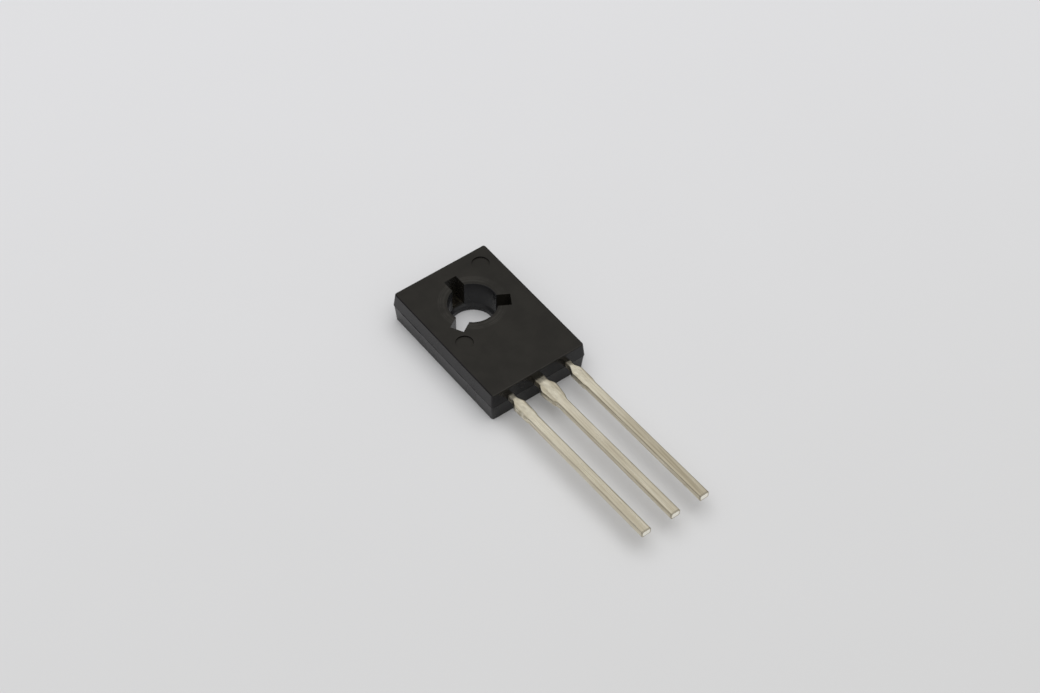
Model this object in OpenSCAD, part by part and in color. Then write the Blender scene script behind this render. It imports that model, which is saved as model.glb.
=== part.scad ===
// Three-lead power transistor in a flat plastic package that is screwed down by its back.
// Frame: X across the body, Y along it (top end +Y, leads towards -Y), Z up from the back face.
// Origin: the centre of the screw hole on the back face. Millimetres and degrees.

/* [Body] */
// Width of the body at the parting plane
body_w = 7.5; // [7.3:0.05:7.8]
// Length of the body at the parting plane
body_l = 10.95; // [10.7:0.05:11.1]
// Thickness from the back face to the front face
body_t = 2.45; // [2.35:0.05:2.7]
// Height of the parting plane between the two halves of the mould
parting_z = 1.38; // [1.24:0.02:1.44]
// Draft angle of the side walls of both halves
draft_a = 4.5; // [2:0.5:7]
// Step from the front half in to the back half at the parting plane
parting_step = 0.02; // [0.01:0.01:0.06]
// Radius of the front edges
edge_r = 0.12; // [0.06:0.01:0.15]
// Radius of the upright corners
corner_r = 0.18; // [0.16:0.01:0.35]

/* [Screw hole] */
// Diameter of the hole above the lining ring
hole_d = 3.32; // [3.2:0.02:3.4]
// Diameter of the lining ring, which centres the screw
ring_d = 3; // [3:0.01:3.12]
// Height of the bevel that leads down into the ring
ring_bevel = 0.12; // [0.06:0.02:0.2]
// Distance from the hole centre to the top end of the body
hole_to_top = 3.77; // [3.6:0.01:3.9]
// Edge break round the hole on the front face
hole_chamfer = 0.03; // [0.02:0.01:0.1]

/* [Hold-down notches] */
// Number of notches round the hole, the first towards the top end
notch_count = 3; // [1:1:3]
// Width of a notch
notch_w = 0.95; // [0.7:0.05:1.1]
// Distance from the hole centre to the outer end of a notch
notch_reach = 2.52; // [2.3:0.02:2.6]

/* [Ejector marks] */
// Diameter of the two round marks that the ejector pins leave on the front face
mark_d = 1.2; // [0.8:0.05:1.4]
// Depth of the marks
mark_depth = 0.1; // [0.04:0.01:0.14]
// Distance from a mark's centre in to the body's side
mark_to_side = 1.3; // [1.1:0.05:1.5]
// Distance along the body from the hole centre to a mark's centre
mark_to_hole = 2.45; // [2.3:0.05:2.6]

/* [Back plate] */
// Width of the plate
plate_w = 5.7; // [5.4:0.1:6.1]
// Distance from the plate's lower edge to the body's end, which holds the bond posts
plate_to_end = 2.5; // [2.3:0.05:2.8]
// Thickness of the plate
plate_t = 0.5; // [0.45:0.01:0.6]
// Distance from the plate's top edge to the top end of the body
plate_to_top = 0.7; // [0.6:0.05:0.9]
// Diameter of the plate's hole, which the ring lines
plate_hole_d = 3.8; // [3.6:0.05:4]
// Corner cut of the plate
plate_corner = 0.5; // [0.3:0.05:0.7]
// Width of the lip that anchors the plate in the moulding
lip_w = 0.3; // [0.2:0.05:0.4]
// Thickness of that lip
lip_t = 0.22; // [0.15:0.01:0.3]

/* [Leads] */
// Distance from lead to lead
lead_pitch = 2.29; // [2.25:0.01:2.33]
// Width of a lead
lead_w = 0.7; // [0.65:0.01:0.75]
// Thickness of a lead
lead_t = 0.5; // [0.45:0.01:0.55]
// Depth to which the leads reach into the back half
lead_sink = 0.1; // [0:0.01:0.15]
// Length of a lead outside the body
lead_l = 13.4; // [8:0.1:16.5]
// Radius of a lead's long edges
lead_edge_r = 0.1; // [0.04:0.01:0.15]
// Sideways set of the lead tips
lead_set = 0.25; // [-0.3:0.05:0.3]

/* [Lead shoulders] */
// Width of the outer leads where they leave the body
outer_neck_w = 0.4; // [0.36:0.02:0.6]
// Width of the outer leads' shoulder
outer_shoulder_w = 0.84; // [0.8:0.02:1]
// Width of the outer leads at the foot of the shoulder
outer_foot_w = 0.82; // [0.76:0.02:0.9]
// Width of the centre lead where it leaves the body
centre_neck_w = 0.76; // [0.7:0.02:0.9]
// Width of the centre lead's shoulder
centre_shoulder_w = 1.2; // [1:0.05:1.3]
// Width of the centre lead at the foot of the shoulder
centre_foot_w = 0.96; // [0.8:0.02:1]
// Length of the necks
neck_l = 0.45; // [0.3:0.05:0.55]
// Distance from the body to where the shoulders reach their full width
shoulder_at = 0.9; // [0.8:0.05:1.05]
// Length of the shoulders at full width
shoulder_l = 0.3; // [0.25:0.05:0.6]
// Distance from the body to the foot of the shoulders, where the tie bar was sheared off
foot_at = 2.05; // [1.9:0.05:2.2]
// Length over which a lead narrows below the foot of its shoulder
foot_taper_l = 0.3; // [0.25:0.05:0.5]
// Length by which each bend of the leads' outline is blended
blend_l = 0.1; // [0.04:0.01:0.12]

/* [Lead ends inside the body] */
// Width of the strip that joins the centre lead to the plate
strip_w = 1.5; // [1.3:0.05:1.6]
// Angle at which that strip climbs
joggle_a = 55; // [45:1:65]
// Radius of the strip's two bends, at its middle
joggle_r = 0.5; // [0.4:0.05:0.6]
// Width of a bond post
post_w = 1.6; // [1.4:0.05:1.7]
// Length of a bond post
post_l = 1.2; // [1:0.05:1.3]
// Distance from a bond post's inner side to the middle of the body
post_to_middle = 1.4; // [1.3:0.05:1.5]
// Gap along the body from the plate to a bond post
post_to_plate = 0.15; // [0.1:0.05:0.2]
// Corner cut of a bond post
post_corner = 0.25; // [0.1:0.05:0.35]
// Diameter of the locking hole in the stem of a bond post
lock_d = 0.34; // [0.2:0.02:0.4]

/* [Chip] */
// Side of the square chip
die_w = 1.6; // [1.2:0.05:1.8]
// Thickness of the chip
die_t = 0.25; // [0.2:0.01:0.3]
// Distance from the chip's lower side to the plate's lower edge
die_to_edge = 0.5; // [0.3:0.05:0.6]
// Thickness of the solder layer under the chip
solder_t = 0.05; // [0.03:0.01:0.08]
// Overhang of the solder layer on each side of the chip
solder_rim = 0.1; // [0.05:0.01:0.15]

/* [Bond wires] */
// Diameter of the emitter wire
emitter_wire_d = 0.2; // [0.15:0.01:0.25]
// Diameter of the base wire
base_wire_d = 0.15; // [0.12:0.01:0.2]
// Rise of a wire's loop
loop_h = 0.58; // [0.5:0.02:0.66]
// Length of the foot that is pressed flat at each end
foot_l = 0.3; // [0.2:0.05:0.35]
// Width of a foot as a share of the wire's diameter
foot_wide = 1.4; // [1.2:0.1:1.6]
// Thickness of a foot as a share of the wire's diameter
foot_thin = 0.5; // [0.4:0.1:0.8]
// Distance from the chip's middle to a wire's foot on it, along and across
bond_off = 0.35; // [0.25:0.05:0.4]

/* [Hidden] */
$fn = 64;

// Reach of a cut past the surface that it opens
past = 1;
// Overlap of stretches that are one piece
lap = 0.2;
// Facets of the small roundings that hull() blends, and the thickness of its flat discs
fillet_fn = 24;
disc_t = 0.01;
// Steps round one corner of a lead's section and along one bend of its outline
corner_steps = 4;
blend_steps = 3;
// Sides of a wire and steps along it
wire_sides = 8;
wire_steps = 18;
// Share of a wire's span over which it grows from flat to round
heel = 0.15;

// Ends of the body and of the plate along Y
top_y = hole_to_top;
end_y = top_y - body_l;
plate_top_y = top_y - plate_to_top;
plate_end_y = end_y + plate_to_end;
plate_l = plate_top_y - plate_end_y;

// Heights of the lead frame and of the chip
lead_z = parting_z - lead_sink;
lead_mid_z = lead_z + lead_t / 2;
lead_top_z = lead_z + lead_t;
die_z = plate_t + solder_t;
die_top_z = die_z + die_t;

// Middle of the chip and of a bond post
die_y = plate_end_y + die_to_edge + die_w / 2;
post_x = post_to_middle + post_w / 2;
post_top_y = plate_end_y - post_to_plate;
post_y = post_top_y - post_l / 2;

// ---- Shared forms ----

// Closed skin over a list of rings with equally many points, each ring seen
// anticlockwise from the last ring's side
module skin(rings) {
    n = len(rings[0]);
    last = len(rings) - 1;
    polyhedron(
        points = [for (ring = rings) each ring],
        faces = concat(
            [[for (i = [0:n - 1]) i]],
            [for (k = [0:last - 1]) for (i = [0:n - 1])
                [k * n + i, (k + 1) * n + i, k * n + (i + 1) % n]],
            [for (k = [0:last - 1]) for (i = [0:n - 1])
                [k * n + (i + 1) % n, (k + 1) * n + i, (k + 1) * n + (i + 1) % n]],
            [[for (i = [n - 1:-1:0]) last * n + i]]
        )
    );
}

// Rectangle about the origin with its four corners cut off
module cut_rectangle(size, cut) {
    w = size.x / 2;
    l = size.y / 2;
    polygon([[w - cut, -l], [w, cut - l], [w, l - cut], [w - cut, l],
             [cut - w, l], [-w, l - cut], [-w, cut - l], [cut - w, -l]]);
}

// ---- Moulded body ----

// Corner centres of the outline that lies inset by d from the parting plane's outline
function corners(d) = let (x = body_w / 2 - d - corner_r)
    [for (sx = [-1, 1]) for (y = [end_y + d + corner_r, top_y - d - corner_r]) [sx * x, y]];

// Flat disc that stands at a corner of the outline
module corner_disc() {
    cylinder(r = corner_r, h = disc_t, $fn = fillet_fn);
}

// Round cap that rounds a corner of the front face and its edges
module corner_cap() {
    rotate_extrude($fn = fillet_fn)
        hull() {
            square([corner_r - edge_r, edge_r]);
            translate([corner_r - edge_r, 0])
                intersection() {
                    circle(r = edge_r, $fn = fillet_fn);
                    square(edge_r);
                }
        }
}

// Front half: drafted walls, rounded corners and rounded front edges
module front_half() {
    inset = (body_t - parting_z) * tan(draft_a);
    hull() {
        for (c = corners(0))
            translate([c.x, c.y, parting_z]) corner_disc();
        for (c = corners(inset))
            translate([c.x, c.y, body_t - edge_r]) corner_cap();
    }
}

// Back half: drafted walls down to the sharp edge of the back face
module back_half() {
    inset = parting_step + parting_z * tan(draft_a);
    hull() {
        for (c = corners(parting_step))
            translate([c.x, c.y, parting_z - disc_t]) corner_disc();
        for (c = corners(inset))
            translate([c.x, c.y, 0]) corner_disc();
    }
}

// Stepped screw hole: ring, its bevel, the clear bore and the edge break
module screw_hole() {
    translate([0, 0, -past]) cylinder(d = ring_d, h = body_t + 2 * past);
    translate([0, 0, plate_t - ring_bevel]) cylinder(d1 = ring_d, d2 = hole_d, h = ring_bevel);
    translate([0, 0, plate_t]) cylinder(d = hole_d, h = body_t);
    translate([0, 0, body_t - hole_chamfer])
        cylinder(d1 = hole_d, d2 = hole_d + 2 * (hole_chamfer + past), h = hole_chamfer + past);
}

// Notches that the mould's hold-down pins leave, open down to the plate
module notches() {
    for (i = [0:notch_count - 1])
        rotate([0, 0, 360 / notch_count * i])
            translate([-notch_w / 2, 0, plate_t])
                cube([notch_w, notch_reach, body_t]);
}

// Two shallow round ejector marks on one diagonal of the front face
module ejector_marks() {
    for (s = [-1, 1])
        translate([s * (body_w / 2 - mark_to_side), s * mark_to_hole, body_t - mark_depth])
            cylinder(d = mark_d, h = past);
}

module moulded_body() {
    color([0.17, 0.165, 0.16])
        difference() {
            union() {
                front_half();
                back_half();
            }
            screw_hole();
            notches();
            ejector_marks();
            collector_frame();
            emitter_lead();
            base_lead();
            silicon_die();
            die_solder();
            emitter_bond_wire();
            base_bond_wire();
        }
}

// ---- Leads ----

// Section of a lead in X and Z: a rectangle with rounded corners
function lead_section(w) = [for (q = [0:3]) for (i = [0:corner_steps])
    let (a = 90 * q + 90 * i / corner_steps,
         sx = (q == 0 || q == 3) ? 1 : -1,
         sz = q < 2 ? 1 : -1)
    [sx * (w / 2 - lead_edge_r) + lead_edge_r * cos(a),
     sz * (lead_t / 2 - lead_edge_r) + lead_edge_r * sin(a)]];

// Sideways place of a lead's middle at distance d from the body
function set_at(d) = lead_set * max(d, 0) / lead_l;

// Outline of distance and width whose inner bends are blended over a length of l each way
function blended(line, l) = concat(
    [line[0]],
    [for (k = [1:len(line) - 2]) for (i = [0:blend_steps])
        let (t = i / blend_steps,
             before = line[k - 1] - line[k],
             after = line[k + 1] - line[k],
             a = line[k] + l * before / norm(before),
             b = line[k] + l * after / norm(after))
        (1 - t) * (1 - t) * a + 2 * t * (1 - t) * line[k] + t * t * b],
    [line[len(line) - 1]]
);

// Lead from just inside the body to its tip, skinned over its stations: neck, shoulder that
// narrows to its foot, and the plain lead
module outside_lead(x, neck_w, shoulder_w, foot_w) {
    stations = blended([[-2 * lap, neck_w], [neck_l, neck_w], [shoulder_at, shoulder_w],
                        [shoulder_at + shoulder_l, shoulder_w], [foot_at, foot_w],
                        [foot_at + foot_taper_l, lead_w], [lead_l, lead_w]], blend_l);
    skin([for (s = stations)
        [for (p = lead_section(s[1])) [x + set_at(s[0]) + p.x, end_y - s[0], lead_mid_z + p.y]]]);
}

// Flat stretch inside the body: a stem with a locking hole, and the bond post
module bond_post(side) {
    stem_l = post_y - end_y - lap;
    translate([0, 0, lead_z])
        linear_extrude(lead_t)
            difference() {
                union() {
                    translate([side * post_x, post_y])
                        cut_rectangle([post_w, post_l], post_corner);
                    translate([side * lead_pitch - lead_w / 2, end_y + lap])
                        square([lead_w, stem_l]);
                }
                translate([side * lead_pitch, (end_y + lap + post_y - post_l / 2) / 2])
                    circle(d = lock_d);
            }
}

module outer_lead(side) {
    color([0.78, 0.75, 0.67]) {
        outside_lead(side * lead_pitch, outer_neck_w, outer_shoulder_w, outer_foot_w);
        bond_post(side);
    }
}

module emitter_lead() {
    outer_lead(-1);
}

module base_lead() {
    outer_lead(1);
}

// ---- Collector frame ----

// Plate with its hole; the lip round its edge is thinner and sits inside the moulding
module back_plate() {
    middle_y = (plate_top_y + plate_end_y) / 2;
    difference() {
        union() {
            translate([0, middle_y, plate_t - lip_t])
                linear_extrude(lip_t) cut_rectangle([plate_w, plate_l], plate_corner);
            translate([0, middle_y, 0])
                linear_extrude(plate_t)
                    cut_rectangle([plate_w - 2 * lip_w, plate_l - 2 * lip_w], plate_corner);
        }
        translate([0, 0, -past]) cylinder(d = plate_hole_d, h = plate_t + 2 * past);
    }
}

// Side view of the strip's joggle as a band about its middle line: distance down the body
// and height, from the plate's lower edge up to lead level
function joggle_rise() = lead_mid_z - plate_t / 2;
function joggle_straight() = (joggle_rise() - 2 * joggle_r * (1 - cos(joggle_a))) / sin(joggle_a);
function joggle_run() = 2 * joggle_r * sin(joggle_a) + joggle_straight() * cos(joggle_a);
function joggle_edge(off) = let (r = joggle_r, n = 6)
    concat(
        [for (i = [0:n]) let (a = joggle_a * i / n)
            [(r - off) * sin(a), plate_t / 2 + r - (r - off) * cos(a)]],
        [for (i = [n:-1:0]) let (a = joggle_a * i / n)
            [joggle_run() - (r + off) * sin(a), lead_mid_z - r + (r + off) * cos(a)]]
    );

// Strip that climbs from the plate to lead level and runs on to the body's end; the lip
// goes on under its start
module collector_strip() {
    flat_end = plate_end_y - end_y - lap;
    lower = joggle_edge(-lead_t / 2);
    upper = joggle_edge(lead_t / 2);
    difference() {
        translate([strip_w / 2, plate_end_y + lip_w, 0])
            rotate([90, 0, -90])
                linear_extrude(strip_w)
                    polygon(concat([[-lap, 0]], lower,
                        [[flat_end + lip_w, lead_z], [flat_end + lip_w, lead_top_z]],
                        [for (i = [len(upper) - 1:-1:0]) upper[i]], [[-lap, plate_t]]));
        translate([-strip_w, end_y, -past])
            cube([2 * strip_w, plate_end_y + lip_w - end_y, plate_t - lip_t + past]);
    }
}

module collector_frame() {
    color([0.78, 0.75, 0.67]) {
        back_plate();
        collector_strip();
        outside_lead(0, centre_neck_w, centre_shoulder_w, centre_foot_w);
    }
}

// ---- Chip and its connections ----

module silicon_die() {
    color([0.35, 0.37, 0.42])
        translate([-die_w / 2, die_y - die_w / 2, die_z]) cube([die_w, die_w, die_t]);
}

module die_solder() {
    side = die_w + 2 * solder_rim;
    color([0.62, 0.63, 0.65])
        translate([-side / 2, die_y - side / 2, plate_t]) cube([side, side, solder_t]);
}

// Height of a wire's underside at fraction t of its span, level at both feet, and its slope
function wire_z(t) = die_top_z + (lead_top_z - die_top_z) * (3 - 2 * t) * t * t
    + loop_h * pow(sin(180 * t), 2);
function wire_slope(t, span) =
    atan2(6 * (lead_top_z - die_top_z) * (1 - t) * t + loop_h * PI * sin(360 * t), span);

// How round a wire is at fraction t: 0 where its foot is pressed flat, 1 along the loop
function roundness(t) = min(1, t / heel, (1 - t) / heel);

// Looped wire of diameter d, in one piece with its two feet, from a on the chip to b on a post
module bond_wire(a, b, d) {
    span = norm(b - a);
    along = (b - a) / span;
    stations = concat([-foot_l / span], [for (k = [0:wire_steps]) k / wire_steps],
                      [1 + foot_l / span]);
    skin([for (t = stations)
        let (inside = max(0, min(1, t)),
             tilt = wire_slope(inside, span),
             wide = d / 2 * (foot_wide + (1 - foot_wide) * max(0, roundness(t))),
             thick = d / 2 * (foot_thin + (1 - foot_thin) * max(0, roundness(t))))
        [for (i = [0:wire_sides - 1])
            let (turn = 360 * (i + 0.5) / wire_sides,
                 side = wide * cos(turn),
                 up = thick * (sin(turn) + sin(180 / wire_sides * (wire_sides / 2 - 1))))
            [a.x + along.x * (span * t - sin(tilt) * up) + along.y * side,
             a.y + along.y * (span * t - sin(tilt) * up) - along.x * side,
             wire_z(inside) + cos(tilt) * up]]]);
}

module emitter_bond_wire() {
    color([0.85, 0.86, 0.88])
        bond_wire([-bond_off, die_y], [-post_x, post_y], emitter_wire_d);
}

module base_bond_wire() {
    color([0.85, 0.86, 0.88])
        bond_wire([bond_off, die_y], [post_x, post_y], base_wire_d);
}

moulded_body();
collector_frame();
emitter_lead();
base_lead();
silicon_die();
die_solder();
emitter_bond_wire();
base_bond_wire();
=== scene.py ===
# %% [markdown]
# # A three-lead power transistor on a pale table
#
# The real part is a black epoxy block moulded round a stamped metal frame. One screw
# hole goes through it, three flat tinned leads come out of one end, and a metal plate
# lies open in its back. The solids come from the CAD model, ready to use. This
# notebook gives them soft edges and finishes, adds what a mould leaves behind, and
# sets up the table, the light and the camera.
#
# Everything is in metres, in the CAD model's own frame: X across the body, +Y towards
# the end with the hole, Z up from the back face, and the origin at the hole's centre.

# %% Load the fixed frame
import math
from types import SimpleNamespace

import bmesh
import bpy
from mathutils import Matrix, Quaternion, Vector


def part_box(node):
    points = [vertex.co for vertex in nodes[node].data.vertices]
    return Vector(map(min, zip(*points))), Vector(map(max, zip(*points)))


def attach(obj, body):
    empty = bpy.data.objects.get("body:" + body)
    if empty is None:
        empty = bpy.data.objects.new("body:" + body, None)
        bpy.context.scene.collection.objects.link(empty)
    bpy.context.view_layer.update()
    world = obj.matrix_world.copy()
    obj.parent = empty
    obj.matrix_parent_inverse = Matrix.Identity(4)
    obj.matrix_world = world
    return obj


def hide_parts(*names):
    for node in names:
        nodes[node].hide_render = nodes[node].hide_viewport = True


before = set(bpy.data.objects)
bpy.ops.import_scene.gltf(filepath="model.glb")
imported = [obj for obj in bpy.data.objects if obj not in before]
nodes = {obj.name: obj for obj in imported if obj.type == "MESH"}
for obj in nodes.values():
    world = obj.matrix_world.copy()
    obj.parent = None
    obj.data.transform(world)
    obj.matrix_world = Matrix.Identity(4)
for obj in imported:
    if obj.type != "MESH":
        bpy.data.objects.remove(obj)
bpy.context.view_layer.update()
MM = 0.001
print("loaded", len(nodes), "solids:", ", ".join(sorted(nodes)))

# %% [markdown] ## Measuring the frame  The looks have to lie on the right places of
# the part. They can't tell the hole's radius or the height of the parting line. Such
# sizes are written out here, once, to match the CAD model.

# %% Read the places that a box tells
body_lo, body_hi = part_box("moulded_body")
lead_lo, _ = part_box("emitter_lead")
END_Y = body_lo.y
LEAD_L = END_Y - lead_lo.y
FRONT_Z = body_hi.z
BODY_W = body_hi.x - body_lo.x
BODY_L = body_hi.y - body_lo.y
BODY_MIDDLE_Y = (body_hi.y + body_lo.y) / 2
print(f"body {BODY_W / MM:.2f} x {BODY_L / MM:.2f} mm, leads {LEAD_L / MM:.2f} mm long")

# %% Write out the sizes that no box tells
BORE_R = 1.66 * MM  # the screw hole above its ring
NOTCH_R = 2.6 * MM  # a circle just past the ends of the hole's notches
CORNER_R = 0.18 * MM  # the block's upright corners
PARTING_Z = 1.38 * MM  # where the two halves of the mould meet
PLATE_T = 0.5 * MM
PITCH = 2.29 * MM  # from lead to lead
TIP_SET = 0.25 * MM  # how far the tips lie to the right of the necks
TIP_Z = 1.53 * MM  # the middle of a lead's thickness
print(f"hole {2 * BORE_R / MM:.2f} mm wide, leads {PITCH / MM:.2f} mm apart")

# %% [markdown]
# ## Shader sums as Python sums
#
# A finish is mostly arithmetic: a mask times a colour, one minus a noise. Each Math
# node could be added and wired by hand, but that hides the sum. So this class wraps a
# socket, and `+`, `-`, `*`, `/`, `%`, `**` and `abs` add the nodes. `make` adds any
# other node. It starts from a bare tree where there is no socket yet.

# %% A socket that Python can reckon with
# A Mix node has sockets for each type of data, and these are the ones for colours.
MIX_FACTOR, MIX_UNDER, MIX_OVER, MIX_COLOUR = 0, 6, 7, 2


class Signal:
    """One output socket of a node tree, or a bare tree to start from."""

    def __init__(self, tree, socket=None):
        self.tree = tree
        self.socket = socket

    def make(self, kind, sockets=(), settings=(), out=0):
        """Adds a node: its settings first, then the values or links of its sockets."""
        node = self.tree.nodes.new(kind)
        for name, value in dict(settings).items():
            setattr(node, name, value)
        for key, value in dict(sockets).items():
            if isinstance(value, Signal):
                self.tree.links.new(value.socket, node.inputs[key])
            else:
                node.inputs[key].default_value = value
        return Signal(self.tree, node.outputs[out] if node.outputs else None)

    def reckon(self, operation, *values):
        """A Math node on these values, in this order."""
        return self.make("ShaderNodeMath", enumerate(values), {"operation": operation})

    def __add__(self, other):
        return self.reckon("ADD", self, other)

    def __radd__(self, other):
        return self.reckon("ADD", other, self)

    def __sub__(self, other):
        return self.reckon("SUBTRACT", self, other)

    def __rsub__(self, other):
        return self.reckon("SUBTRACT", other, self)

    def __mul__(self, other):
        return self.reckon("MULTIPLY", self, other)

    def __rmul__(self, other):
        return self.reckon("MULTIPLY", other, self)

    def __truediv__(self, other):
        return self.reckon("DIVIDE", self, other)

    def __rtruediv__(self, other):
        return self.reckon("DIVIDE", other, self)

    def __mod__(self, other):
        return self.reckon("MODULO", self, other)

    def __rmod__(self, other):
        return self.reckon("MODULO", other, self)

    def __pow__(self, other):
        return self.reckon("POWER", self, other)

    def __rpow__(self, other):
        return self.reckon("POWER", other, self)

    def __abs__(self):
        return self.reckon("ABSOLUTE", self)

    def rise(self, low, high, start=0.0, end=1.0):
        """Goes smoothly from start to end while this value goes from low to high."""
        limits = {"From Min": low, "From Max": high, "To Min": start, "To Max": end}
        return self.make(
            "ShaderNodeMapRange",
            {"Value": self, **limits},
            {"interpolation_type": "SMOOTHSTEP"},
        )

    def blend(self, under, over):
        """The colour over where this value is 1, and the colour under where it is 0."""
        return self.make(
            "ShaderNodeMix",
            {MIX_FACTOR: self, MIX_UNDER: under, MIX_OVER: over},
            {"data_type": "RGBA"},
            out=MIX_COLOUR,
        )


print("Signal is ready:", ", ".join(n for n in vars(Signal) if not n.startswith("_")))

# %% [markdown]
# ## Starting a finish
#
# Each finish starts from Object coordinates. The pieces sit at the origin, so these are
# plain metres on the part, and a pattern keeps its real scale whatever the piece's size.
# Colours are written as the eye reads them, from 0 to 255, and turned into light. A
# surface that differs from place to place is built up in coats: a base tone, and over
# it one tone after another, each where its mask from 0 to 1 lets it through.


# %% Colours as the eye reads them
def tone(red, green, blue):
    """An sRGB colour from 0 to 255, as linear light with full alpha."""
    linear = []
    for part in (red, green, blue):
        c = part / 255
        linear.append(c / 12.92 if c <= 0.04045 else ((c + 0.055) / 1.055) ** 2.4)
    return (*linear, 1.0)


print("mid grey as light:", round(tone(128, 128, 128)[0], 3))


# %% A material with its coordinates
class Finish:
    """A new material, and the coordinates that its patterns start from."""

    def __init__(self, name, **fixed):
        self.material = bpy.data.materials.new(name)
        self.material.use_nodes = True
        self.tree = self.material.node_tree
        self.shader = self.tree.nodes["Principled BSDF"]
        for socket, value in fixed.items():
            self.shader.inputs[socket.replace("_", " ")].default_value = value
        start = Signal(self.tree)
        self.place = start.make("ShaderNodeTexCoord", out="Object")
        self.facing = start.make("ShaderNodeTexCoord", out="Normal")

    def axes(self, vector):
        """The X, Y and Z parts of a vector, each as a signal."""
        split = vector.make("ShaderNodeSeparateXYZ", {"Vector": vector})
        return [Signal(self.tree, part) for part in split.socket.node.outputs]

    def grain(self, size, stretch=(1, 1, 1), detail=2.0, roughness=0.5, shift=0.0):
        """Noise from 0 to 1 with spots of this size, drawn out by stretch."""
        scale = [1 / (size * s) for s in stretch]
        mapped = self.place.make(
            "ShaderNodeMapping",
            {"Vector": self.place, "Scale": scale, "Location": (shift,) * 3},
        )
        return mapped.make(
            "ShaderNodeTexNoise",
            {"Vector": mapped, "Scale": 1.0, "Detail": detail, "Roughness": roughness},
        )

    def coats(self, tint, *coats):
        """A base tone, and over it each tone where its mask lets it through."""
        for mask, over in coats:
            tint = mask.blend(tint, over)
        return tint

    def feed(self, socket, signal):
        """Links a signal to one socket of the shader."""
        self.tree.links.new(signal.socket, self.shader.inputs[socket])

    def relief(self, height, depth, strength):
        """Bump whose full range of height stands for this depth in metres."""
        levels = {"Height": height, "Distance": depth, "Strength": strength}
        self.feed("Normal", height.make("ShaderNodeBump", levels))


print("Finish is ready:", ", ".join(n for n in vars(Finish) if not n.startswith("_")))

# %% [markdown]
# ## The moulded epoxy
#
# The block is filled epoxy, black from carbon. The mould's cavity is spark-eroded over
# the front, which gives a fine matte grain, while the side walls, the end faces and the
# hole are polished so that the block slides out. Two materials would need a seam
# between them, so one material carries both: the way a surface faces tells which of
# the two it is. A pin pressed on the front round the hole leaves a ring of fine turned
# lines there. The end face over the leads gets a darker tone as painted shade. The wall
# of the hole is a little greyer as a painted reflection of the pale table seen through
# it, and the rounded edge over the leads carries a paler band as a painted highlight.

# %% Tones of the moulded finish
FRONT_TONE = tone(30, 28, 24)
FRONT_TONE_PALE = tone(37, 35, 31)
RING_TONE = tone(56, 54, 50)
WALL_TONE = tone(24, 22, 23)
# painted shade: the darker tone of the end face over the leads
END_SHADE_TONE = tone(9, 8, 8)
NOTCH_TONE = tone(37, 35, 31)
# painted reflection: the hole's wall is toned lighter, for the bright table seen through it
BORE_REFLECTION_TONE = tone(40, 40, 41)
# painted highlight along the rounded edge over the leads
EDGE_HIGHLIGHT_TONE = tone(53, 51, 47)
print("darkest tone of the epoxy as light:", round(END_SHADE_TONE[0], 4))

# %% Sizes and limits of the moulded finish
SOFT = 0.1 * MM  # over this width one finish gives way to the next
THIN = 0.02 * MM  # and over this one where the border is sharp
GRAIN = 0.07 * MM
GRAIN_DEPTH = 0.006 * MM
GRAIN_ON_WALLS = 0.1  # what the polish leaves of it
CLOUD = 1.6 * MM
RING_IN, RING_OUT = 1.78 * MM, 2.35 * MM
RING_LINE = 0.05 * MM  # from one turned line to the next
RING_WEAR, RING_SHINE, RING_DEPTH = 0.75, 0.1, 0.4
RELIEF = 0.6  # how strongly the relief of both outside finishes shows
FACING_UP = (0.8, 0.97)  # the normal's Z, from wall to front
FACING_LEADS = (-0.6, -0.9)  # the normal's Y, from side wall to lead end
EDGE_UP, EDGE_OUT = (0.2, 0.5), (-0.2, -0.5)  # the rounded edge between them
FRONT_ROUGH, WALL_ROUGH = (0.5, 0.58), (0.2, 0.3)
print(f"turned ring from {RING_IN / MM:.2f} to {RING_OUT / MM:.2f} mm of radius")

# %% Where the moulded finish cuts its noises
# Each pair is the value of the noise where a mask is 0 and where it is 1, and the
# third number, where there is one, is what the mask keeps in place of 0.
FULL_RANGE = (0.2, 0.8)
MIDDLE_RANGE = (0.3, 0.7)
TURNED_LINE = (0.4, 0.65)
RING_CLOUD = (0.35, 0.6, 0.15)
EDGE_HIGHLIGHT_CLOUD = (0.35, 0.55, 0.5)
print("the ring keeps at least", RING_CLOUD[2], "of its strength where it is worn")


# %% The ring of turned lines on the front
def turned_ring(radius, cloud):
    """Mask of the fine lines between the ring's two radii, worn here and there."""
    band = radius.rise(RING_IN, RING_IN + SOFT) * radius.rise(RING_OUT, RING_OUT - SOFT)
    lines = radius.make(
        "ShaderNodeTexNoise",
        {"W": radius / RING_LINE, "Scale": 1.0, "Detail": 1.0},
        {"noise_dimensions": "1D"},
    )
    return band * lines.rise(*TURNED_LINE) * cloud.rise(*RING_CLOUD)


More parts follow.
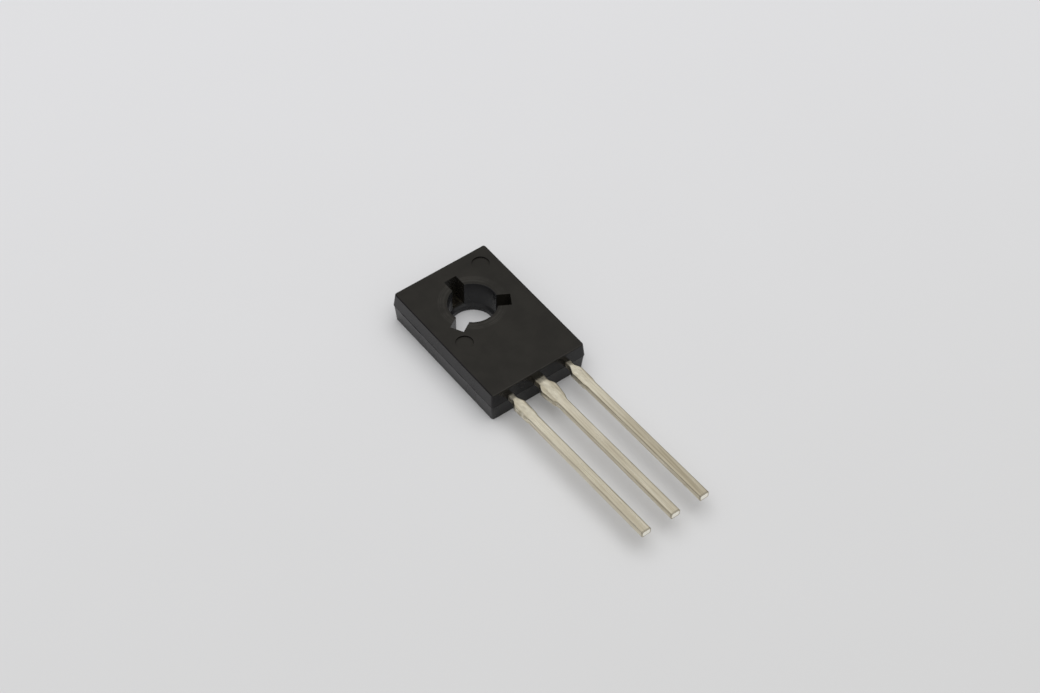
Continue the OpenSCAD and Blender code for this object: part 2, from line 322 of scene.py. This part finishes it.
# %% Make the moulded finish
def moulded_finish():
    """Front grain, polished walls, the pin's ring, and painted shade, reflection and
    highlight.
    """
    skin = Finish("moulded_epoxy", Specular_IOR_Level=0.25)
    x, y, z = skin.axes(skin.place)
    _, along, up = skin.axes(skin.facing)
    cloud = skin.grain(CLOUD, detail=4.0, roughness=0.6)
    grain = skin.grain(GRAIN)
    radius = x.reckon("SQRT", x * x + y * y)
    front = up.rise(*FACING_UP) * z.rise(FRONT_Z - 2 * SOFT, FRONT_Z - SOFT)
    ring = turned_ring(radius, cloud) * front
    # Painted highlight: a paler, clouded band along the rounded edge over the leads.
    edge_highlight = along.rise(*EDGE_OUT) * up.rise(*EDGE_UP) * z.rise(FRONT_Z - 2 * SOFT, FRONT_Z)
    matte = skin.coats(
        FRONT_TONE,
        (cloud.rise(*MIDDLE_RANGE), FRONT_TONE_PALE),
        (ring * RING_WEAR, RING_TONE),
    )
    polished = skin.coats(
        WALL_TONE,
        # Painted shade: faces turned towards the leads get a darker tone than the side
        # walls.
        (along.rise(*FACING_LEADS), END_SHADE_TONE),
        (radius.rise(NOTCH_R, NOTCH_R - THIN), NOTCH_TONE),
        # Painted reflection: the wall of the hole gets a lighter grey tone.
        (radius.rise(BORE_R + 3 * THIN, BORE_R + THIN), BORE_REFLECTION_TONE),
        (edge_highlight * cloud.rise(*EDGE_HIGHLIGHT_CLOUD), EDGE_HIGHLIGHT_TONE),
    )
    skin.feed("Base Color", front.blend(polished, matte))
    wall_rough = cloud.rise(*FULL_RANGE, *WALL_ROUGH)
    front_rough = cloud.rise(*FULL_RANGE, *FRONT_ROUGH) - ring * RING_SHINE
    skin.feed("Roughness", front * (front_rough - wall_rough) + wall_rough)
    share = front * (1 - GRAIN_ON_WALLS) + GRAIN_ON_WALLS
    skin.relief(grain * share + ring * RING_DEPTH, GRAIN_DEPTH, RELIEF)
    return skin.material


epoxy = moulded_finish()
print("made", epoxy.name, "with", len(epoxy.node_tree.nodes), "nodes")

# %% [markdown]
# ## Tinned copper
#
# The frame is stamped from copper strip and the leads are dipped in tin. Tin is a warm
# pale metal with a soft shine. Rolling draws fine lines along the strip, the dip leaves
# broad cloudy patches and lumps near the shoulders, and handling stains the level faces
# towards the tips. Small bright and dark flecks near the shoulders are painted glints and
# painted shade, standing in for tiny sheared stubs there. The long edges are painted
# darker, as painted shade on their rounding. Epoxy bleeds on to each lead where it leaves
# the block and turns the first 0.3 mm or so grey, and it films the plate where the
# notches reach down to it. The tips were cut after the dip, so each shows an oval of bare
# metal, painted near-white as a highlight, in a rim of painted shade on the rounded edges.
#
# All this could be painted on an unwrapped map. Masks from a point's place on the part
# need no map and stay sharp at any size, so one function finds where on a lead a point
# lies, and another lays the coats.

# %% Tones of the tinned finish
TIN = tone(237, 230, 210)
TIN_DEEP = tone(218, 209, 186)
TIN_STAIN_AND_SHADE = tone(180, 169, 145)
# painted shade on the tips' rounded rims, and a painted highlight on their cut faces
TIN_RIM_SHADE = tone(150, 143, 126)
TIN_FLECK_SHADE = tone(150, 142, 118)
TIN_CUT_HIGHLIGHT = tone(255, 252, 240)
BLEED_TONE = tone(172, 166, 151)
FILM_TONE = tone(140, 130, 115)
print("tin as light:", [round(part, 2) for part in TIN[:3]])

# %% Places on the leads
# Each pair is where a mask is 0 and where it is 1. The first five are out along a lead.
NECK = (0.5 * MM, 0.3 * MM)
SHOULDER = (3.2 * MM, 1.6 * MM)
FAR = (3.0 * MM, 8.0 * MM)
RIM = (LEAD_L - 0.12 * MM, LEAD_L - 0.06 * MM)
CUT = (LEAD_L - 0.04 * MM, LEAD_L - 0.02 * MM)
OUTER_LEADS = (0.8 * MM, 1.4 * MM)
RIGHT_LEAD = (1.2 * MM, 1.6 * MM)
LONG_EDGE = (0.22 * MM, 0.34 * MM)  # off the middle of a lead
LEVEL_FACE, STEEP_FACE = (0.5, 0.95), (0.97, 0.75)  # how level the face lies
OVAL = (1.3, 0.6)  # its rim is at 1
OVAL_W, OVAL_T = 0.29 * MM, 0.19 * MM
SQUARENESS = 4.0  # 2 is a true oval, and more is nearer to a rectangle
print(f"spots end {SHOULDER[0] / MM:.1f} mm out, stain is full at {FAR[1] / MM:.1f} mm")


# %% Find where on a lead a point lies
def lead_places(skin):
    """Masks from 0 to 1, each for one place on the leads or the plate."""
    x, y, z = skin.axes(skin.place)
    level = abs(skin.axes(skin.facing)[2])
    reach = END_Y - y
    outside = reach.rise(-SOFT / 2, SOFT / 2)
    middle = reach * (TIP_SET / LEAD_L)
    # The remainder folds the three leads on to one. The first term keeps it positive,
    # and the last puts 0 in the middle of each lead.
    across = (1.5 * PITCH + x - middle) % PITCH - 0.5 * PITCH
    width = (across / OVAL_W) ** SQUARENESS
    height = ((z - TIP_Z) / OVAL_T) ** SQUARENESS
    places = SimpleNamespace(
        outside=outside,
        neck=outside * reach.rise(*NECK),
        shoulder=outside * reach.rise(*SHOULDER),
        far=reach.rise(*FAR) * level.rise(*LEVEL_FACE),
        flank=level.rise(*STEEP_FACE),
        long_edge=outside * abs(across).rise(*LONG_EDGE),
        outer=abs(x).rise(*OUTER_LEADS),
        right=x.rise(*RIGHT_LEAD),
        plate=reach.rise(0, -SOFT) * z.rise(PLATE_T - SOFT, PLATE_T - SOFT / 2),
        rim=reach.rise(*RIM),
        cut=reach.rise(*CUT) * (width + height).rise(*OVAL),
    )
    print("masks for the tin:", ", ".join(vars(places)))
    return places


# %% Noises of the tinned finish
# The size of each, and how far it is drawn out along X, Y and Z.
LINES = (0.05 * MM, (1, 60, 1))
STREAKS = (0.12 * MM, (1, 45, 1))
PATCHES = (0.5 * MM, (0.6, 2.5, 1))
LUMPS = (0.28 * MM, (1, 1.6, 1))
SPOTS = (0.26 * MM, (1, 1.4, 1))
# Where a mask cuts its noise, as in the moulded finish.
WORN_PATCH, WORN_STREAK = (0.38, 0.66), (0.4, 0.62)
STAINED_STREAK = (0.5, 0.68)
BLEED_PATCH = (0.35, 0.5, 0.5)
FILM_PATCH = (0.4, 0.6, 0.3)
# where the noise gives the flecks of painted shade and of painted glint
SHADE_FLECK, GLINT_FLECK = (0.48, 0.6), (0.44, 0.36)
EDGE_STREAK = (0.35, 0.55, 0.4)
print("lines are drawn out", LINES[1][1], "times, streaks", STREAKS[1][1], "times")

# %% Strengths of the tin's coats
# The right lead took more stain and less bleed than the others, so some have a share
# for every lead and a change for the right one or the two outer ones.
STREAK_STAIN, STREAK_STAIN_RIGHT = 0.2, 0.5
FAR_STAIN, FAR_STAIN_RIGHT = 0.3, 0.25
BLEED, BLEED_OUTER, BLEED_RIGHT = 0.6, 0.35, -0.25
SPOTS_ALL, SPOTS_FLANK = 0.1, 0.5
# how strongly the painted shade darkens the long edges
EDGE_SHADE = 0.4
# how strongly the painted shade darkens the rim at the tips
RIM_SHADE = 0.6
TIN_ROUGH, WORN_ROUGH, BLEED_ROUGH = (0.25, 0.34), 0.05, 0.15
LINE_HEIGHT, PATCH_HEIGHT, LUMP_HEIGHT = 0.6, 0.6, 7.0
TIN_DEPTH = 0.01 * MM
print("the far stain on the right lead is", FAR_STAIN + FAR_STAIN_RIGHT)


# %% Make the tinned finish
def tinned_finish():
    """Tin in coats: worn metal, stain, bleed, film, painted glint and shade flecks, painted
    edge shade, and cut tips with a painted highlight and rim shade.
    """
    skin = Finish("dipped_tin", Metallic=1.0)
    at = lead_places(skin)
    lines = skin.grain(*LINES, detail=3.0, roughness=0.6)
    streak = skin.grain(*STREAKS, detail=3.0, shift=7.0)
    patch = skin.grain(*PATCHES, detail=5.0, roughness=0.6)
    lumps = skin.grain(*LUMPS, shift=11.0)
    spots = skin.grain(*SPOTS, shift=19.0)
    worn = (patch.rise(*WORN_PATCH) + streak.rise(*WORN_STREAK)) / 2
    stain = streak.rise(*STAINED_STREAK) * (at.right * STREAK_STAIN_RIGHT + STREAK_STAIN)
    stain = stain + at.far * (at.right * FAR_STAIN_RIGHT + FAR_STAIN)
    bleed = at.neck * patch.rise(*BLEED_PATCH)
    bled = bleed * (at.outer * BLEED_OUTER + at.right * BLEED_RIGHT + BLEED)
    glint_and_shade_flecks = at.shoulder * (at.flank * SPOTS_FLANK + SPOTS_ALL)
    tint = skin.coats(
        TIN,
        (worn, TIN_DEEP),
        (stain, TIN_STAIN_AND_SHADE),
        (bled, BLEED_TONE),
        (at.plate * patch.rise(*FILM_PATCH), FILM_TONE),
        # Painted shade and painted glints: dark and bright flecks on the shoulders, most on
        # the flanks.
        (glint_and_shade_flecks * spots.rise(*SHADE_FLECK), TIN_FLECK_SHADE),
        (glint_and_shade_flecks * spots.rise(*GLINT_FLECK), TIN_CUT_HIGHLIGHT),
        # Painted shade: the long, rounded edges of each lead are darkened.
        (at.long_edge * streak.rise(*EDGE_STREAK) * EDGE_SHADE, TIN_STAIN_AND_SHADE),
        # Painted shade on the rim at each tip, and a painted highlight on the cut oval.
        (at.rim * RIM_SHADE, TIN_RIM_SHADE),
        (at.cut, TIN_CUT_HIGHLIGHT),
    )
    skin.feed("Base Color", tint)
    rough = lines.rise(*MIDDLE_RANGE, *TIN_ROUGH)
    skin.feed("Roughness", rough + worn * WORN_ROUGH + bleed * BLEED_ROUGH)
    height = lines * LINE_HEIGHT + patch * PATCH_HEIGHT
    height = height + lumps * at.shoulder * LUMP_HEIGHT
    skin.relief(height, TIN_DEPTH, RELIEF)
    return skin.material


tin = tinned_finish()
print("made", tin.name, "with", len(tin.node_tree.nodes), "nodes")

# %% [markdown]
# ## The sealed pieces
#
# The chip, its solder and the two bond wires are inside the block and don't show, but
# they are real pieces that someone may lay open. A flat colour would do while they are
# hidden, but not then, so each gets a simple patterned finish: etched silicon, dull
# solder and drawn aluminium. Their solids have the right shape and stay.

# %% A finish for a sealed piece
SEALED_CLOUD = (0.35, 0.65)
SEALED_SPREAD = 0.08  # of the roughness, up and down
SEALED_DEPTH, SEALED_RELIEF = 0.003 * MM, 0.5


def sealed_finish(name, dull, bright, rough, size, metallic, stretch=(1, 1, 1)):
    """Two tones in a cloud of this size, which is also a little rougher in places."""
    skin = Finish(name, Metallic=metallic)
    cloud = skin.grain(size, stretch, detail=3.0)
    rough_range = (rough - SEALED_SPREAD, rough + SEALED_SPREAD)
    skin.feed("Base Color", cloud.rise(*SEALED_CLOUD).blend(dull, bright))
    skin.feed("Roughness", cloud.rise(*MIDDLE_RANGE, *rough_range))
    skin.relief(cloud, SEALED_DEPTH, SEALED_RELIEF)
    return skin.material


# %% Make the finishes inside and put them on
silicon = sealed_finish(
    "etched_silicon",
    dull=tone(70, 74, 86),
    bright=tone(92, 98, 112),
    rough=0.22,
    size=0.3 * MM,
    metallic=0.6,
)
solder = sealed_finish(
    "dull_solder",
    dull=tone(150, 151, 154),
    bright=tone(178, 178, 180),
    rough=0.5,
    size=0.12 * MM,
    metallic=1.0,
)
aluminium = sealed_finish(
    "drawn_aluminium",
    dull=tone(214, 216, 220),
    bright=tone(230, 231, 233),
    rough=0.3,
    size=0.04 * MM,
    metallic=1.0,
    stretch=(1, 8, 1),
)
sealed = {
    "silicon_die": silicon,
    "die_solder": solder,
    "emitter_bond_wire": aluminium,
    "base_bond_wire": aluminium,
}
for name, finish in sealed.items():
    nodes[name].data.materials.clear()
    nodes[name].data.materials.append(finish)
print("finished", len(sealed), "sealed pieces")

# %% [markdown]
# ## Soft edges on the outside pieces
#
# No moulded or sheared edge is a knife edge, and it is the thin bright line along an
# edge that makes a small part look real. A bevel in the shader would not change the
# outline, so the edges are rounded in the mesh. The CAD solids are left as they are.
# Each outside piece is a merged copy of its solid: doubled corners are joined, flat
# neighbours become one face, and a small bevel rounds the edges that turn sharply.
# Weighted normals keep the flat faces flat.

# %% Sizes of the soft edges
MERGE = 0.0005 * MM
FLAT_ANGLE = math.radians(0.6)
SHARP_ANGLE = math.radians(40)
SMOOTH_ANGLE = math.radians(35)
BODY_BEVEL = 0.016 * MM
TIN_BEVEL = 0.03 * MM
BEVEL_STEPS = 2
print(f"bevels: epoxy {BODY_BEVEL / MM:.3f} mm, tin {TIN_BEVEL / MM:.3f} mm")


# %% Copy a solid as a clean piece
def clean_copy(node, name, bevel):
    """A copy of a CAD solid with merged corners, joined flat faces and soft edges."""
    mesh = nodes[node].data.copy()
    mesh.name = name
    bm = bmesh.new()
    bm.from_mesh(mesh)
    bmesh.ops.remove_doubles(bm, verts=bm.verts, dist=MERGE)
    bmesh.ops.dissolve_limit(
        bm, angle_limit=FLAT_ANGLE, verts=bm.verts, edges=bm.edges, delimit={"NORMAL"}
    )
    sharp = [e for e in bm.edges if e.is_manifold and e.calc_face_angle() > SHARP_ANGLE]
    bmesh.ops.bevel(
        bm,
        geom=sharp,
        offset=bevel,
        offset_type="OFFSET",
        segments=BEVEL_STEPS,
        profile=0.5,
        affect="EDGES",
        clamp_overlap=True,
    )
    open_edges = sum(1 for e in bm.edges if len(e.link_faces) != 2)
    bm.to_mesh(mesh)
    bm.free()
    piece = bpy.data.objects.new(name, mesh)
    bpy.context.scene.collection.objects.link(piece)
    print(f"{name}: {len(sharp)} edges softened, {open_edges} open")
    return piece


# %% Put a piece in its solid's place
def dress(piece, finish, node):
    """Gives a piece its finish and shading, and lets it stand for its solid."""
    mesh = piece.data
    mesh.materials.clear()
    mesh.materials.append(finish)
    for face in mesh.polygons:
        face.use_smooth = True
        face.material_index = 0
    mesh.set_sharp_from_angle(angle=SMOOTH_ANGLE)
    weigh = piece.modifiers.new("flat faces stay flat", "WEIGHTED_NORMAL")
    weigh.keep_sharp = True
    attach(piece, "root")
    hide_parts(node)
    print(f"{piece.name}: {len(mesh.polygons)} faces in {finish.name}")


body = clean_copy("moulded_body", "epoxy_block", BODY_BEVEL)
dress(body, epoxy, "moulded_body")
for node, name in (
    ("collector_frame", "collector_plate_and_lead"),
    ("emitter_lead", "left_lead"),
    ("base_lead", "right_lead"),
):
    dress(clean_copy(node, name, TIN_BEVEL), tin, node)

# %% [markdown]
# ## The flash along the parting line
#
# Where the two halves of the mould meet, a little resin creeps out and sets as a thin
# uneven bead round the block. Points could be placed by hand, but the bead follows a
# path and a rule, so Geometry Nodes make it: a rectangle with rounded corners,
# resampled finely, gets a radius from noise and is swept with a small circle. The
# tree's inputs are its sizes, and the seed is fixed.

# %% Sizes of the flash
FLASH_R = 0.03 * MM
FLASH_STEP = 0.12 * MM
FLASH_SEED = 4.0
FLASH_WAVES = 900.0  # ups and downs for each metre of bead
FLASH_SWELL = (0.35, 0.7, 0.2)  # cuts the noise as above, and keeps a fifth
FLASH_SIDES = 8
CORNER_STEPS = 6
print(f"a bead of {FLASH_R / MM:.2f} mm radius at a height of {PARTING_Z / MM:.2f} mm")


# %% The path that the bead follows
def rounded_path(width, length, corner, step):
    """A rectangle with rounded corners, in even steps."""
    path = width.make(
        "GeometryNodeCurvePrimitiveQuadrilateral", {"Width": width, "Height": length}
    )
    path = path.make(
        "GeometryNodeFilletCurve",
        {"Curve": path, "Radius": corner, "Count": CORNER_STEPS},
        {"mode": "POLY"},
    )
    return path.make(
        "GeometryNodeResampleCurve", {"Curve": path, "Length": step}, {"mode": "LENGTH"}
    )


# %% Build the tree
def flash_tree(finish):
    """A node tree that sweeps an uneven bead along the rounded path."""
    tree = bpy.data.node_groups.new("parting_flash", "GeometryNodeTree")
    sockets = tree.interface
    sockets.new_socket("Geometry", in_out="OUTPUT", socket_type="NodeSocketGeometry")
    for name in ("Width", "Length", "Corner Radius", "Bead Radius", "Step", "Seed"):
        sockets.new_socket(name, in_out="INPUT", socket_type="NodeSocketFloat")
    inputs = Signal(tree).make("NodeGroupInput").socket.node.outputs
    width, length, corner, bead, step, seed = (Signal(tree, o) for o in inputs[:6])
    path = rounded_path(width, length, corner, step)
    uneven = seed.make(
        "ShaderNodeTexNoise",
        {"W": seed, "Scale": FLASH_WAVES, "Detail": 2.0},
        {"noise_dimensions": "4D"},
    )
    radius = uneven.rise(*FLASH_SWELL) * bead
    ring = path.make(
        "GeometryNodeCurvePrimitiveCircle", {"Resolution": FLASH_SIDES, "Radius": 1.0}
    )
    mesh = path.make(
        "GeometryNodeCurveToMesh",
        {"Curve": path, "Profile Curve": ring, "Scale": radius},
    )
    mesh = mesh.make("GeometryNodeRealizeInstances", {"Geometry": mesh})
    mesh = mesh.make("GeometryNodeSetMaterial", {"Geometry": mesh, "Material": finish})
    mesh.make("NodeGroupOutput", {"Geometry": mesh})
    print(tree.name, "has", len(tree.nodes), "nodes")
    return tree


# %% Grow a tree into a plain mesh
def grown(name, tree, values, place):
    """Runs a tree with these inputs and returns a plain object at the origin."""
    grower = bpy.data.objects.new(name + "_grower", bpy.data.meshes.new(name + "_seed"))
    bpy.context.scene.collection.objects.link(grower)
    grow = grower.modifiers.new("grow", "NODES")
    grow.node_group = tree
    for item in tree.interface.items_tree:
        if item.in_out == "INPUT":
            grow[item.identifier] = values[item.name]
    ready = grower.evaluated_get(bpy.context.evaluated_depsgraph_get())
    mesh = bpy.data.meshes.new_from_object(ready)
    mesh.name = name
    mesh.transform(Matrix.Translation(place))
    bpy.data.objects.remove(grower)
    piece = bpy.data.objects.new(name, mesh)
    bpy.context.scene.collection.objects.link(piece)
    print(f"{name}: grown with {len(mesh.vertices)} corners")
    return piece


# %% Lay the flash round the block
flash = grown(
    "parting_flash",
    flash_tree(epoxy),
    {
        "Width": BODY_W,
        "Length": BODY_L,
        "Corner Radius": CORNER_R,
        "Bead Radius": FLASH_R,
        "Step": FLASH_STEP,
        "Seed": FLASH_SEED,
    },
    Vector((0, BODY_MIDDLE_Y, PARTING_Z)),
)
for face in flash.data.polygons:
    face.use_smooth = True
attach(flash, "root")
print("flash:", len(flash.data.polygons), "faces")

# %% [markdown]
# ## The table
#
# A plane would do for a table, but its corners can show. So this is a large pale disc,
# wide enough that no low view sees past its rim. Its tone carries a painted fall-off of
# light, paler towards the far side and darker towards the near side, with a faint cloud
# in it, as light falls on a table by a window.

# %% Sizes and tones of the table
TABLE_R = 1.2
RIM_STEPS = 96
# painted light: the table's tone towards the far side and towards the near side
TABLE_LIT_TONE_FAR = tone(221, 221, 223)
TABLE_SHADED_TONE_NEAR = tone(209, 209, 209)
FALL = 55 * MM  # the tone changes over this far to each side of the hole
FALL_X, FALL_Y = 0.37, 0.93  # the way in which it gets paler
TABLE_CLOUD = 14 * MM
TABLE_CLOUD_SWAY = 12 * MM
print("table", 2 * TABLE_R, "m across")


# %% Make the table
def table_top():
    """A flat disc in the table's finish."""
    bm = bmesh.new()
    bmesh.ops.create_circle(bm, cap_ends=True, radius=TABLE_R, segments=RIM_STEPS)
    mesh = bpy.data.meshes.new("table")
    bm.to_mesh(mesh)
    bm.free()
    top = bpy.data.objects.new("table", mesh)
    bpy.context.scene.collection.objects.link(top)
    skin = Finish("pale_table", Roughness=0.9, Specular_IOR_Level=0.1)
    x, y, _ = skin.axes(skin.place)
    sway = (skin.grain(TABLE_CLOUD, detail=3.0) - 0.5) * TABLE_CLOUD_SWAY
    # Painted light: the table's tone is lighter on the far side and darker on the near
    # side.
    far = (x * FALL_X + y * FALL_Y + sway).rise(-FALL, FALL)
    skin.feed("Base Color", far.blend(TABLE_SHADED_TONE_NEAR, TABLE_LIT_TONE_FAR))
    mesh.materials.append(skin.material)
    return top


table = table_top()
print("table:", len(table.data.vertices), "corners in", table.data.materials[0].name)

# %% [markdown]
# ## Light
#
# One wide soft lamp hangs over the table, and the room round it is dimmer towards the
# horizon. A black block shows mostly what it reflects, so the dim horizon is what draws
# the dark line along its rounded edges, and the bright ceiling is what lights its front.
# The lamp itself is kept out of reflections, because its disc would stand on the flat
# faces as a hard bright spot. The ceiling shows there in its place.

# %% Make the room
ROOM_TOP = 0.81
ROOM_LOW = 0.18
CEILING = (0.35, 0.85)  # the height at which the room turns from dim to bright
WHITE = (1.0, 1.0, 1.0, 1.0)

world = bpy.data.worlds.new("room")
world.use_nodes = True
bpy.context.scene.world = world
sky = world.node_tree
direction = Signal(sky).make("ShaderNodeTexCoord", out="Generated")
height = direction.make("ShaderNodeSeparateXYZ", {"Vector": direction}, out="Z")
glow = height.rise(*CEILING, ROOM_LOW, ROOM_TOP)
sky.links.new(glow.socket, sky.nodes["Background"].inputs["Strength"])
sky.nodes["Background"].inputs["Color"].default_value = WHITE
print("room from", ROOM_LOW, "at the horizon to", ROOM_TOP, "above")

# %% Hang the lamp
LAMP_SIZE = 0.82
LAMP_PLACE = Vector((0.03, 0.03, 0.6))
LAMP_POWER = 2.42

lamp_data = bpy.data.lights.new("soft_lamp", "AREA")
lamp_data.shape = "DISK"
lamp_data.size = LAMP_SIZE
lamp_data.energy = LAMP_POWER
lamp = bpy.data.objects.new("soft_lamp", lamp_data)
lamp.location = LAMP_PLACE
lamp.rotation_euler = (-LAMP_PLACE).to_track_quat("-Z", "Y").to_euler()
lamp.visible_glossy = False
bpy.context.scene.collection.objects.link(lamp)
print("lamp", LAMP_SIZE, "m wide at", [round(v, 2) for v in LAMP_PLACE], "m")

# %% [markdown]
# ## Camera
#
# The camera could be placed by its coordinates, but an angle, a height and a distance
# from a point on the part say more. It looks down at 50 degrees from beyond the emitter
# side, with a long lens, so the part shows its front, its left wall and its lead end at
# once.

# %% Make the camera
AZIMUTH, ELEVATION, ROLL = (math.radians(v) for v in (-37.70, 50.0, 0.84))
AIM = Vector((0.810, -4.06, 1.3)) * MM
DISTANCE = 158.9 * MM
LENS, SENSOR = 85.0, 36.0
CLIP_START, CLIP_END = 0.01, 10.0

back = Vector((math.sin(AZIMUTH), -math.cos(AZIMUTH), 0)) * math.cos(ELEVATION)
back.z = math.sin(ELEVATION)
eye = bpy.data.cameras.new("camera")
eye.lens = LENS
eye.sensor_width = SENSOR
eye.clip_start = CLIP_START
eye.clip_end = CLIP_END
camera = bpy.data.objects.new("camera", eye)
camera.rotation_mode = "QUATERNION"
camera.location = AIM + back * DISTANCE
turn = Quaternion((0, 0, 1), ROLL)
camera.rotation_quaternion = (-back).to_track_quat("-Z", "Y") @ turn
bpy.context.scene.collection.objects.link(camera)
bpy.context.scene.camera = camera
bpy.context.scene.view_settings.view_transform = "Standard"
print("camera at", [round(v / MM, 1) for v in camera.location], "mm")

# %% [markdown]
# ## The end
